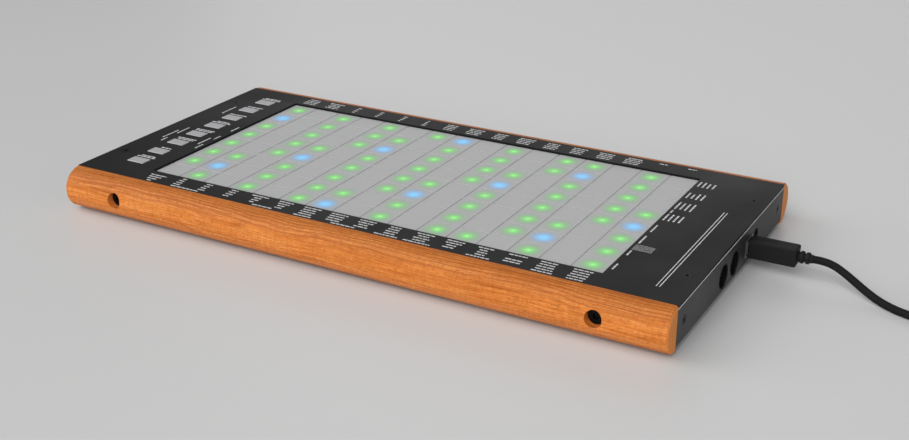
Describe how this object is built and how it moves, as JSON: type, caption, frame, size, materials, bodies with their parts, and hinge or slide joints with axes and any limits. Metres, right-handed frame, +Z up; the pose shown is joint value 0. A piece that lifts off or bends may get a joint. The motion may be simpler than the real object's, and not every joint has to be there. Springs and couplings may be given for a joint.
{
  "type": "midi controller",
  "caption": "Flat desktop music controller: a lit grid of pressure pads and a column of buttons in a steel case between half-round wooden rails, with its USB lead coiled.",
  "frame": {"origin": "on the table, under the middle of the case", "axes": "+X to the connector end, +Y to the back (away from the player), +Z up"},
  "size_m": [0.5795, 0.2337, 0.0275],
  "materials": {
    "case_paint": "fine matt black powder coat",
    "wood": "oiled, fine lengthwise grain",
    "screw_black": "black oxide",
    "plated_steel": "bright zinc or nickel plate",
    "foot_rubber": "matt",
    "silicone": "matt, light passes through it",
    "film": "satin polyester",
    "board": "solder mask",
    "lamp": "clear resin",
    "nylon": "natural nylon",
    "socket_plastic": "moulded",
    "flat_cable": "polyester laminate",
    "cable_black": "satin moulded jacket"
  },
  "bodies": {
    "case": {"top_cover": "case_paint", "left_end_plate": "case_paint", "right_end_plate": "case_paint", "bottom_tray": "case_paint", "front_rail": "wood", "back_rail": "wood", "rail_screws": "screw_black", "rail_nuts": "plated_steel", "cover_screws": "screw_black", "cover_pillars": "plated_steel", "end_screws": "screw_black", "feet": "foot_rubber", "pressure_film": "film", "sensor_board": "board", "pad_lamps": "lamp", "board_pillars": "plated_steel", "board_props": "nylon", "board_screws": "plated_steel", "keypad_web": "silicone", "button_domes": "plated_steel", "main_board": "board", "main_chips": "socket_plastic", "main_standoffs": "plated_steel", "main_screws": "plated_steel", "link_cable": "flat_cable", "link_sockets": "nylon", "midi_in_socket": "socket_plastic", "midi_out_socket": "socket_plastic", "usb_socket_shell": "plated_steel", "usb_socket_core": "socket_plastic", "power_jack": "socket_plastic", "power_pin": "plated_steel"},
    "playing_surface": {"playing_surface": "silicone"},
    "control_button_1": {"control_button_1": "silicone"},
    "control_button_2": {"control_button_2": "silicone"},
    "control_button_3": {"control_button_3": "silicone"},
    "control_button_4": {"control_button_4": "silicone"},
    "control_button_5": {"control_button_5": "silicone"},
    "control_button_6": {"control_button_6": "silicone"},
    "control_button_7": {"control_button_7": "silicone"},
    "control_button_8": {"control_button_8": "silicone"},
    "usb_lead": {"usb_plug_shell": "plated_steel", "usb_plug_grip": "cable_black", "usb_plug_boot": "cable_black", "usb_cable": "cable_black", "cable_coil": "cable_black", "cable_tail": "cable_black", "cable_tie": "cable_black", "far_plug_boot": "cable_black", "far_plug_grip": "cable_black", "far_plug_shell": "plated_steel", "far_plug_tongue": "nylon"}
  },
  "joints": [
    {"name": "surface_press", "type": "slide", "parent": "case", "child": "playing_surface", "axis": [0, 0, -1], "range_m": [0, 0.0006], "stiffness_N_per_m": 8000, "springref_m": -0.0005},
    {"name": "button_1_press", "type": "slide", "parent": "case", "child": "control_button_1", "axis": [0, 0, -1], "range_m": [0, 0.0008], "stiffness_N_per_m": 1500, "springref_m": -0.0005},
    {"name": "button_2_press", "type": "slide", "parent": "case", "child": "control_button_2", "axis": [0, 0, -1], "range_m": [0, 0.0008], "stiffness_N_per_m": 1500, "springref_m": -0.0005},
    {"name": "button_3_press", "type": "slide", "parent": "case", "child": "control_button_3", "axis": [0, 0, -1], "range_m": [0, 0.0008], "stiffness_N_per_m": 1500, "springref_m": -0.0005},
    {"name": "button_4_press", "type": "slide", "parent": "case", "child": "control_button_4", "axis": [0, 0, -1], "range_m": [0, 0.0008], "stiffness_N_per_m": 1500, "springref_m": -0.0005},
    {"name": "button_5_press", "type": "slide", "parent": "case", "child": "control_button_5", "axis": [0, 0, -1], "range_m": [0, 0.0008], "stiffness_N_per_m": 1500, "springref_m": -0.0005},
    {"name": "button_6_press", "type": "slide", "parent": "case", "child": "control_button_6", "axis": [0, 0, -1], "range_m": [0, 0.0008], "stiffness_N_per_m": 1500, "springref_m": -0.0005},
    {"name": "button_7_press", "type": "slide", "parent": "case", "child": "control_button_7", "axis": [0, 0, -1], "range_m": [0, 0.0008], "stiffness_N_per_m": 1500, "springref_m": -0.0005},
    {"name": "button_8_press", "type": "slide", "parent": "case", "child": "control_button_8", "axis": [0, 0, -1], "range_m": [0, 0.0008], "stiffness_N_per_m": 1500, "springref_m": -0.0005},
    {"name": "usb_plug_slide", "type": "slide", "parent": "case", "child": "usb_lead", "axis": [1, 0, 0], "range_m": [0, 0.018]}
  ]
}
